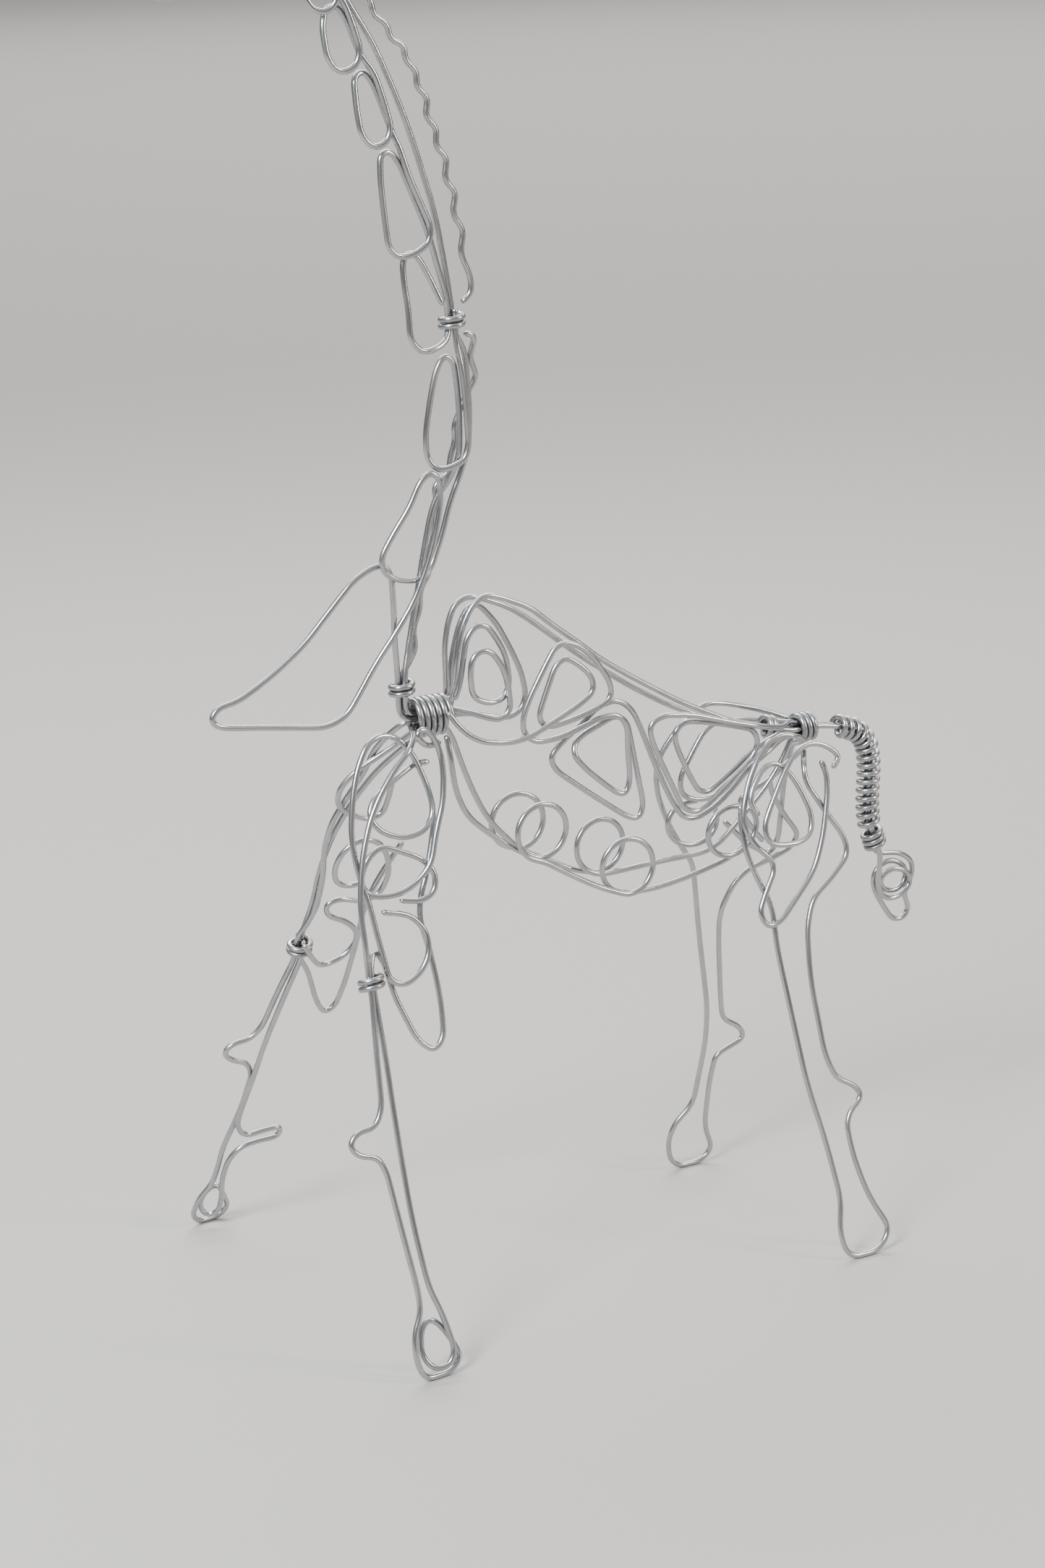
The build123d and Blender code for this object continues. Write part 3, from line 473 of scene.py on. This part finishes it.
near = [
    (-62, tie_height + lane(9)[1], lane(9)[0]), (-52.4, tie_height + lane(9)[1], lane(9)[0]),
    (-46, 253.5, -9), (-38, 250.5, -11.8), (-33, 250), (-29.8, 254), (-30.5, 263), (-33, 272),
    (-38, 279), (-43, 280.5), (-47.2, 277), (-48, 269), (-47, 261), (-42, 258.3), (-38, 257.6, -11.8),
    (-31, 258, -9), (-28.5, 264), (-30, 276), (-35, 285), (-39, 290), (-44, 290), (-48, 285),
    (-50, 274), (-51.5, 266), (-54, 260.5, -8.8),
]
far = [
    (-62, tie_height, lane(1)[0]), (-52, tie_height, lane(1)[0]), (-46.5, 255, 8), (-47.5, 267, 8),
    (-45, 279), (-42, 288), (-38, 294), (-34, 295), (-30, 291), (-25, 285), (-19, 274), (-14, 263),
    (-12, 253), (-14, 247), (-20, 244), (-39, 249, 8), (-50, tie_height + low_up, low_side),
    (-62, tie_height + low_up, low_side),
]
bend("far_back_wire", route(back_far))
bend("near_back_wire", route(back_near))
bend("near_withers_spot", route(near))
bend("far_withers_spot", route(far))


# Near flank and rump spots. Two open triangles and a four-cornered spot, each wound twice round
# like a giraffe's patches, and a plain one on the far side.
near = [
    (-58, 256, -10.4), (-54.5, 250, -13), (-50, 245.5, -15.5), (-45, 243, -17), (-33, 241), (-24, 242),
    (-10, 248), (0, 252.6), (6.5, 257, -17), (6.5, 262), (3, 267, -16), (-5, 273, -14.2), (-10, 269.7),
    (-14, 260), (-18, 250), (-17, 245.7), (-12, 244), (0, 246), (12, 249.5), (17, 253, -14.2),
    (15.5, 260), (8, 271), (1, 277), (-5, 279), (-10, 277.5), (-16, 268), (-22, 258), (-25.5, 250),
    (-25.5, 243), (-20, 238.5, -14.2), (-8, 238.7), (3, 242), (12, 244.7), (20, 244.7), (24, 239),
    (24, 228), (25, 216), (23, 209), (18, 211), (12, 216), (4, 223), (-2, 230, -14.2), (0, 235, -11.4),
    (6, 238.5), (13, 241), (20, 244), (25.5, 240), (28, 227), (31, 212), (33, 203), (31, 196),
    (24, 199), (5, 213), (-9, 224), (-12, 230), (-6, 236), (3, 242), (11, 248.5), (20, 250.5),
    (26, 247), (29.5, 242, -11.4), (35, 232, -8.6), (41, 217), (48, 202), (54, 192.5), (61, 191),
    (71, 195), (80, 202), (87, 209), (97, 215, -8.6), (108, rump_tie_height + lane(5)[1], -3.4),
    (116, rump_tie_height + lane(5)[1], lane(5)[0]), (126, rump_tie_height + lane(5)[1], lane(5)[0]),
]
quad = [
    (126, rump_tie_height + lane(3)[1], lane(3)[0]), (116.5, rump_tie_height + lane(3)[1], lane(3)[0]),
    (111, 225.6, -3.6), (105, 225.6, -9.5), (98, 227, -13), (88, 230, -17), (73, 234), (55, 240),
    (40, 242), (33, 239), (34, 232, -17), (39, 221), (45, 209), (50, 199), (57, 196), (63, 198.5),
    (71, 204, -14.2), (80, 211), (87, 217), (89, 223), (86, 228.5), (74, 232, -14.2), (63, 235),
    (52, 237), (46.5, 233), (48, 226), (54, 213, -14.2), (59, 205), (64, 203), (75, 209, -11.4),
    (85, 216), (94, 221, -11.4), (103, 222.3, -8.4),
]
far = [
    (126, rump_tie_height + lane(2)[1], lane(2)[0]), (115, rump_tie_height + lane(2)[1], lane(2)[0]),
    (105, 224.5, 8), (95, 225, 12), (83, 226), (77, 222), (71, 213), (65, 203), (66, 195), (74, 192),
    (83, 192), (93, 197), (105, 206, 12), (115, rump_tie_height, lane(1)[0]),
    (126, rump_tie_height, lane(1)[0]),
]
bend("near_flank_triangles", route(near))
bend("near_flank_spot", route(quad))
bend("far_flank_spot", route(far))


# Belly. A wire to each side sags from the shoulder to the thigh and winds two rings on its way;
# a third ring is hung beside the thigh.
belly_half_width = 12.0
ring_radius = 12.0        # belly rings
inner = belly_half_width - 1
outer = belly_half_width + 2.6
near = [
    (-58, 246, 8.4), (-57.5, 236, inner), (-56, 223), (-51, 211), (-40, 201), (-29, 193, inner),
] + ring_turn(-17, 199, ring_radius, inner, outer) + [
    (-4, 178, outer), (10, 170),
] + ring_turn(24, 177, ring_radius, outer, inner) + [
    (40, 164, inner), (58, 167), (76, 171.5), (84, 177, inner + 1),
]
far = [
    (-52, 247, 8.2), (-46, 240, 11), (-39, 219, inner), (-30, 200, inner),
] + ring_turn(-15, 197, ring_radius, inner, outer) + [
    (1, 176, outer), (13, 169.5),
] + ring_turn(25, 179, ring_radius, outer, inner) + [
    (53, 167.5, inner), (81, 168), (95, 181), (108, 194), (115, 204), (120, 214.8, 7),
]
near_third = [
    (80, 195.5, 17.4), (72, 197), (65, 193.5), (61.5, 187), (62.5, 180), (67, 175.5), (74, 173.5),
    (81, 175.5), (86.5, 181), (88, 188), (84.5, 193.5, 14.6),
]
far_third = [
    (76, 191, 14.4), (68, 191), (61.5, 187.5), (59.5, 181), (63, 174.5), (70, 171), (78, 171),
    (84, 175), (86, 181), (84, 187.5, 14.4),
]
bend("near_belly_wire", route(near, unit=-1))
bend("far_belly_wire", route(far))
bend("near_third_ring", route(near_third, unit=-1))
bend("far_third_ring", route(far_third))


# Near foreleg. One wire goes down the shin, round the hoof twice and back up, with a spur at the
# pastern; two more wires make the spots of the shoulder and forearm.
hip_half_width = 14.0     # half the width of the body where the legs leave it
shoulder_height = 250.0
near_fore_stance = 78.0   # hooves, measured sideways from the middle plane
to_middle = hip_half_width   # depth that brings a leg back to the middle plane
plane = lean(-hip_half_width, shoulder_height, -near_fore_stance)
leg = [
    (-63, 250.6, to_middle - 4.2), (-71, 250.6, to_middle - 4.2), (-74, 249.5, 3), (-79, 245.5, -2.75),
    (-87, 239), (-95, 230), (-101, 221), (-106, 209), (-109, 198), (-111, 186), (-111, 173, -2.75),
    (-110.9, 164, -1.6), (-110.9, 152, -1.6), (-113, 130, -2.75), (-114, 110), (-118, 103), (-126, 103),
    (-131, 98), (-126, 93), (-119, 92), (-116, 85), (-113, 60), (-110, 37), (-110, 28), (-114.5, 20),
    (-115, 10, -2.75), (-112, 1.25), (-99, 1.25, 0), (-94, 6), (-97, 13), (-101, 20), (-106, 24.5),
    (-110, 20), (-111.5, 11, 0), (-108, 4.6), (-101, 4.6, -2.75), (-97.5, 10), (-99, 18), (-101, 26),
    (-105, 37, -2.75), (-107.5, 64), (-108, 100, 0), (-108, 130), (-108.8, 152, 0.5),
    (-108.8, 164, 0.5), (-105, 170, 3.2), (-101, 163, 3.8), (-99, 150, 3.8), (-92, 131, 2.75),
    (-85, 125), (-80, 130), (-79, 142), (-79.5, 154), (-81, 168), (-83, 177), (-81, 186, 4), (-77, 194),
    (-74, 202), (-71.5, 210), (-69, 217, 4),
]
shoulder = [
    (-68, 237, 6), (-74, 237.5, 5.8), (-83, 234, 4), (-91, 230), (-97, 226), (-99.5, 220), (-95, 214),
    (-86, 210.5), (-77, 212, 0), (-71, 218), (-71.5, 227), (-75, 240, 2.75), (-80, 248, 2.75),
    (-88, 252), (-96, 250, 0), (-102, 241), (-106, 230), (-109, 216), (-109, 206), (-107.5, 196),
    (-105.5, 188), (-104, 175), (-102.4, 164, 0), (-101.5, 157), (-95, 154), (-87, 158), (-82, 165),
    (-82.5, 174), (-88, 180.5), (-94, 182.5), (-100.5, 184, 0),
]
forearm = [
    (-62, 244, 5.6), (-69, 244.5, 0.6), (-73.5, 247, -4.5), (-77.5, 251, -5.8), (-74, 254, -5.4),
    (-69.5, 250.5, -4), (-66, 243, -2.75), (-66, 234), (-68, 223), (-73, 212), (-77, 200, -2.75),
    (-83, 194), (-90, 190, 0), (-97, 189), (-104, 190, 3), (-107, 196), (-103, 204, 2.9), (-96, 209),
    (-88, 205.5), (-80, 202), (-74.5, 196, 0.2), (-75.5, 188), (-82, 185, 0.8), (-91, 186.5, 2.2),
]
bend("near_fore_leg", route(leg, plane))
bend("near_shoulder_spots", route(shoulder, plane))
bend("near_forearm_spot", route(forearm, plane))


# Far foreleg. Bent like the near one, with a second spur at the heel, a wire that hangs as a flap
# behind the knee, and spots to the inside.
far_fore_stance = 109.0
plane = lean(hip_half_width, shoulder_height, far_fore_stance)
leg = [
    (-63, 250.6, 4.3 - to_middle), (-71, 250.6, 4.3 - to_middle), (-75, 245, -6), (-78, 236, 0),
    (-81, 226), (-87, 216), (-93, 204, 0), (-95, 192), (-93.5, 178), (-95, 163, -1), (-98.5, 155, -1),
    (-101.6, 149, 0), (-101.6, 138, 0), (-107, 124), (-113, 105), (-118, 99.5), (-126, 99),
    (-130.5, 95), (-126, 90), (-118, 87), (-115, 80), (-118, 63), (-121, 53), (-125, 41), (-126, 31),
    (-128, 22), (-133, 16), (-136, 7, 0), (-132, 1.25), (-121, 1.25, 2.75), (-117, 6), (-120, 13),
    (-124, 20.5, 2.75), (-129, 18), (-132, 12, 2.75), (-130, 5), (-124.5, 6, -2.75), (-123.5, 14),
    (-124.5, 26, -2.75), (-122.5, 36), (-117, 42), (-108, 43), (-99, 43), (-98, 48.5), (-106, 48.5),
    (-116, 47), (-120.5, 54), (-119.5, 62), (-115, 81), (-112, 97), (-105, 122, -2.75),
    (-99.2, 138, -1.375), (-99.2, 147, -1.375),
]
flap = [
    (-60, 244, 3.4 - to_middle), (-64, 237, -2), (-74, 225, 2.75), (-83, 212), (-90, 197), (-94, 180),
    (-95, 163, 3.2), (-99.2, 150, 1.375), (-99.2, 138, 1.375), (-93, 129, 2.75), (-87, 112), (-82, 104),
    (-77, 107), (-74, 118), (-71, 140), (-70, 157), (-65, 171), (-56, 187, 2.75),
]
elbow = [
    (-62, 246.5, 6.7 - to_middle), (-69, 240, -5), (-79, 232.5, -2.75), (-87, 228), (-93, 221), (-93, 213),
    (-86, 207.5), (-77, 203.5), (-70.5, 205), (-68.5, 216), (-68.5, 226, -2.75),
]
forearm = [
    (-102, 147.5, -7.9), (-96, 138, -7.9), (-90, 133, -4), (-82, 134, -2.75), (-75, 139), (-74, 147),
    (-81, 154), (-90, 158), (-92, 164.5), (-85, 166), (-73, 162, -2.75), (-66, 165), (-63, 174),
    (-65, 183), (-69.5, 190.5), (-76, 194), (-83, 193), (-88, 188), (-90, 181), (-88, 174),
    (-82, 171.5), (-75, 172, -2.75),
]
bend("far_fore_leg", route(leg, plane))
bend("far_fore_flap", route(flap, plane))
bend("far_shoulder_spot", route(elbow, plane))
bend("far_forearm_spots", route(forearm, plane))


# Near hind leg. One wire from the rump down to the hoof and back, with a spur at the hock; the
# thigh is a long loop with a hooked spot over it.
hip_height = 225.0
near_hind_stance = 73.0
plane = lean(-hip_half_width, hip_height, -near_hind_stance)
leg = [
    (75.5, 198, 0), (74, 188), (75, 177), (79, 165), (84, 154), (83.5, 136), (86, 109), (89, 77),
    (94, 54), (98, 26), (95, 13), (97.5, 1.25), (114, 1.25), (121, 9), (112, 25), (107, 44), (106, 60),
    (116.5, 67.5), (112, 73), (104, 77), (100, 88), (98, 121), (100, 142), (105, 154), (115, 160),
    (126, 169), (125, 177), (116, 191, 0), (110, 202), (111, 210, 2), (118, 211.8, 12),
]
thigh = [
    (117.5, 216.5, 7.6), (112, 220, 2), (106, 223, -2.75), (100, 224.5), (92, 222.5), (85, 216),
    (79, 207), (75, 197), (74, 189), (78, 181), (85.5, 174), (86, 169), (81, 162), (75.5, 153),
    (79, 146), (86, 148), (95, 156), (106, 166), (113, 180), (118, 197), (119, 205), (117, 211, -2.75),
]
hook = [
    (119, 209, -8.4), (124, 213, -8.25), (117, 219), (109, 221), (101, 218), (94, 210),
    (85, 197, -8.25), (81, 190), (82, 182.5), (89, 180.5), (98, 180), (105, 183), (106.5, 191),
    (103, 201), (99, 209, -5.5), (92, 215), (85, 212.5), (79, 205), (77, 200, -5.5), (80.5, 194, -5.5),
]
bend("near_hind_leg", route(leg, plane))
bend("near_thigh_loop", route(thigh, plane))
bend("near_thigh_spot", route(hook, plane))


# Far hind leg. A wide thigh bent in one with the shin and hoof, with two plain wires across it.
far_hind_stance = 51.0
plane = lean(hip_half_width, hip_height, far_hind_stance)
leg = [
    (122, 222, 7.8 - to_middle), (111, 226.5, -3), (101, 230, 0), (87, 234), (78, 235), (69, 229), (62, 221),
    (57, 213), (56, 205), (58, 195), (64, 181), (73, 167), (79, 159), (81, 150), (86, 122), (94, 84),
    (95, 66), (91, 33), (82, 25), (79, 16), (81, 6), (86, 1.25), (99, 1.25), (104, 7), (98.5, 20),
    (99, 43), (101, 57), (109, 60), (117, 63), (112, 70), (103, 75), (101, 86), (97, 116), (96, 131),
    (102, 144), (109, 150), (121, 153), (132, 157), (135, 163), (126, 174), (118, 186), (116, 194, 0),
]
thigh = [
    (132, 208, -2.75), (128, 204), (121, 199), (113, 193), (105, 190), (99, 187), (101, 180),
    (107, 172), (114, 164, -2.75),
]
strut = [
    (124.5, 213.2, 1.8 - to_middle), (127.5, 208, 1.5), (127, 200, 2.75), (126, 190), (126, 174), (126, 161),
    (122, 154), (114, 159), (108, 163), (96, 175, 2.75),
]
bend("far_hind_leg", route(leg, plane))
bend("far_thigh_wire", route(thigh, plane))
bend("far_thigh_strut", route(strut, plane))


# Windings. Short close coils of the same wire, turned with pliers round the wires they hold: at
# the neck, the head, the knees, the back and the rump, and a loose band round the muzzle.
knee_wrap_radius = 1.6 * pitch
rump_wrap_radius = 2 * pitch - 0.4 * gap
tail_wrap_radius = 1.5 * pitch + 0.3 * gap
near_plane = lean(-hip_half_width, shoulder_height, -near_fore_stance)
far_plane = lean(hip_half_width, shoulder_height, far_fore_stance)
windings = {
    "neck_foot_binding": coil((-73.4, 0, 266.3), (0, 0, 1), knee_wrap_radius, 2, pitch),
    "neck_binding": coil((-46.5, -1.375, 413), (0, 0, 1), knee_wrap_radius, 2, pitch),
    "head_binding": coil((-99.5, 0, 562.5), (-0.406, 0, 0.914), rump_wrap_radius, 2, pitch),
    "nose_band": coil((-152.7, 0, 553), (-0.87, 0, -0.49), 13.6, 1.5, pitch, 180.0, 12),
    "near_knee_binding": coil(
        (-109.85, near_plane(158) - 0.55, 158), (0, 0.25, 1), knee_wrap_radius, 2, pitch
    ),
    "far_knee_binding": coil((-100, far_plane(144), 144), (0, -0.37, 1), knee_wrap_radius, 2, pitch),
    "back_binding": coil((102.5, -1.375, 223.9), (1, 0, -0.262), tail_wrap_radius, 2, pitch),
    "rump_binding": coil((121.5, 0, rump_tie_height), (1, 0, 0), rump_wrap_radius, 3, pitch),
}
for name, corners in windings.items():
    bend(name, corners, wrap_zinc, 0.4)

# Tail. The two core wires are covered by an open winding down to a short tight one above the tuft.
core = rounded(np.array([
    (130, -pitch / 2, 221), (139, -pitch / 2, 219), (149, -pitch / 2, 215.5), (154, -pitch / 2, 209),
    (155.5, -pitch / 2, 199), (154.5, -pitch / 2, 182), (155.5, -pitch / 2, 171), (161, -pitch / 2, 156),
]))
core_travel = np.concatenate([[0], np.cumsum(np.linalg.norm(np.diff(core, axis=0), axis=1))])


def winding(first, last, turns, steps=8):
    """A helix round the tail's core: core(s) + reach * (cos(k) * across + sin(k) * along x across)."""
    count = turns * steps
    share = np.linspace(first, last, count + 1) * core_travel[-1]
    place = np.column_stack([np.interp(share, core_travel, core[:, k]) for k in range(3)])
    ahead = np.column_stack([np.interp(share + 0.5, core_travel, core[:, k]) for k in range(3)])
    along = ahead - np.column_stack([np.interp(share - 0.5, core_travel, core[:, k]) for k in range(3)])
    along /= np.linalg.norm(along, axis=1)[:, None]
    sideways = np.array([0.0, 1.0, 0.0])
    angle = 2 * math.pi * np.arange(count + 1)[:, None] / steps
    reach = tail_wrap_radius / math.cos(math.pi / steps)
    return place + reach * (np.cos(angle) * sideways + np.sin(angle) * np.cross(along, sideways))


bend("tail_winding", winding(0.1, 0.81, 15), wrap_zinc, 0.4)
bend("tail_end_binding", winding(0.845, 0.945, 3), wrap_zinc, 0.4)


# Painted shade and grime. Where two wires lie together, the crack between them is painted dark as
# shade, with dust and black handling residue in it. Each section of a wire is darker the nearer the
# next wire's centre line comes to its own, most on the side that faces that wire.
crack_reach = 1.9 * wire
names = list(centre_lines)
owners = np.concatenate([np.full(len(centre_lines[name]), i) for i, name in enumerate(names)])
everywhere = np.vstack([centre_lines[name] for name in names])
travel_index = np.concatenate([np.arange(len(centre_lines[name])) for name in names])
tree = kdtree.KDTree(len(everywhere))
for i, point in enumerate(everywhere):
    tree.insert(point, i)
tree.balance()
for i, name in enumerate(names):
    line = centre_lines[name]
    closeness = np.zeros(len(line))
    toward = np.zeros((len(line), 3))
    for k, point in enumerate(line):
        for found, other, distance in tree.find_range(point, crack_reach):
            same_run = owners[other] == i and abs(travel_index[other] - k) * ring_spacing < 6.5
            if not same_run and distance > 0:
                nearness = 1 - max(distance - wire, 0) / (crack_reach - wire)
                if nearness > closeness[k]:
                    closeness[k] = nearness
                    toward[k] = (np.array(found) - point) / distance
    mesh = bars[name].data
    corners = np.empty(len(mesh.vertices) * 3)
    mesh.vertices.foreach_get("co", corners)
    corners = ((corners.reshape(-1, 3) - shift) / millimetre)[:-2].reshape(len(line), facets, 3)
    outward = (corners - line[:, None, :]) / (wire / 2)
    facing = np.clip((outward * toward[:, None, :]).sum(2), 0, 1)
    amount = np.zeros(len(mesh.vertices))
    amount[:-2] = (closeness[:, None] * (0.25 + 0.75 * facing)).ravel()
    # This mask is painted shade with some grime: it darkens each wire where another lies close.
    shade_and_grime = mesh.attributes.new("shade_and_grime", "FLOAT", "POINT")
    shade_and_grime.data.foreach_set("value", amount.astype(np.float32))


# Floor. A plain pale surface that the four hooves stand on.
floor_mesh = bpy.data.meshes.new("floor")
floor_half = 60.0
floor_mesh.from_pydata([
    (-floor_half, -floor_half, 0), (floor_half, -floor_half, 0),
    (floor_half, floor_half, 0), (-floor_half, floor_half, 0),
], [], [(0, 1, 2, 3)])
floor = bpy.data.objects.new("floor", floor_mesh)
bpy.context.scene.collection.objects.link(floor)
floor_paint = bpy.data.materials.new("floor_paint")
floor_paint.use_nodes = True
floor_paint.node_tree.nodes["Principled BSDF"].inputs["Base Color"].default_value = (0.37, 0.36, 0.352, 1)
floor_paint.node_tree.nodes["Principled BSDF"].inputs["Roughness"].default_value = 0.75
floor_mesh.materials.append(floor_paint)


# Light. A cool soft source high on the left, a warm narrow one on the right, a long strip behind
# and a wide ceiling light over the far floor. The room is pale overhead and dimmer toward the
# horizon, which gives the zinc its darker edges.
def softbox(name, place, aim, width, height, power, tint):
    light = bpy.data.lights.new(name, "AREA")
    light.shape = "RECTANGLE"
    light.size = width
    light.size_y = height
    light.energy = power
    light.color = tint
    lamp = bpy.data.objects.new(name, light)
    lamp.location = place
    away = np.array(place) - np.array(aim)
    level = math.hypot(away[0], away[1])
    lamp.rotation_euler = (math.atan2(level, away[2]), 0, math.atan2(away[0], -away[1]))
    bpy.context.scene.collection.objects.link(lamp)


softbox("key", (-1.4, -0.7, 1.5), (0, 0, 0.25), 0.5, 0.7, 72, (0.94, 0.97, 1.0))
softbox("fill", (1.5, -1.4, 1.2), (0, 0, 0.25), 0.2, 1.2, 34, (1.0, 0.88, 0.74))
softbox("strip", (0.3, 1.3, 1.5), (0, 0, 0.3), 2.0, 0.4, 34, (1.0, 0.97, 0.93))
softbox("ceiling", (5, 7.5, 5), (5, 7.5, 0), 13, 13, 1000, (1.0, 0.98, 0.96))
room = bpy.data.worlds.new("room")
room.use_nodes = True
sky_nodes, sky_links = room.node_tree.nodes, room.node_tree.links
direction = sky_nodes.new("ShaderNodeTexCoord")
height = sky_nodes.new("ShaderNodeSeparateXYZ")
sky_links.new(direction.outputs["Generated"], height.inputs["Vector"])
climb = sky_nodes.new("ShaderNodeMapRange")
climb.inputs["To Min"].default_value = 0.22
climb.inputs["To Max"].default_value = 1.05
sky_links.new(height.outputs["Z"], climb.inputs["Value"])
sky_links.new(climb.outputs["Result"], sky_nodes["Background"].inputs["Strength"])
sky_nodes["Background"].inputs["Color"].default_value = (0.98, 0.99, 1, 1)
bpy.context.scene.world = room


# Camera. Level with the top of the neck and about a metre and a quarter away, looking down on the near flank.
camera_data = bpy.data.cameras.new("camera")
camera_data.sensor_fit = "VERTICAL"
camera_data.sensor_height = 36.0
camera_data.lens = 69.65
camera = bpy.data.objects.new("camera", camera_data)
camera.location = np.array([-590.8, -1076.5, 574.2]) * millimetre + shift
camera.rotation_euler = (math.radians(73.664), math.radians(1.298), math.radians(-28.36))
bpy.context.scene.collection.objects.link(camera)
bpy.context.scene.camera = camera
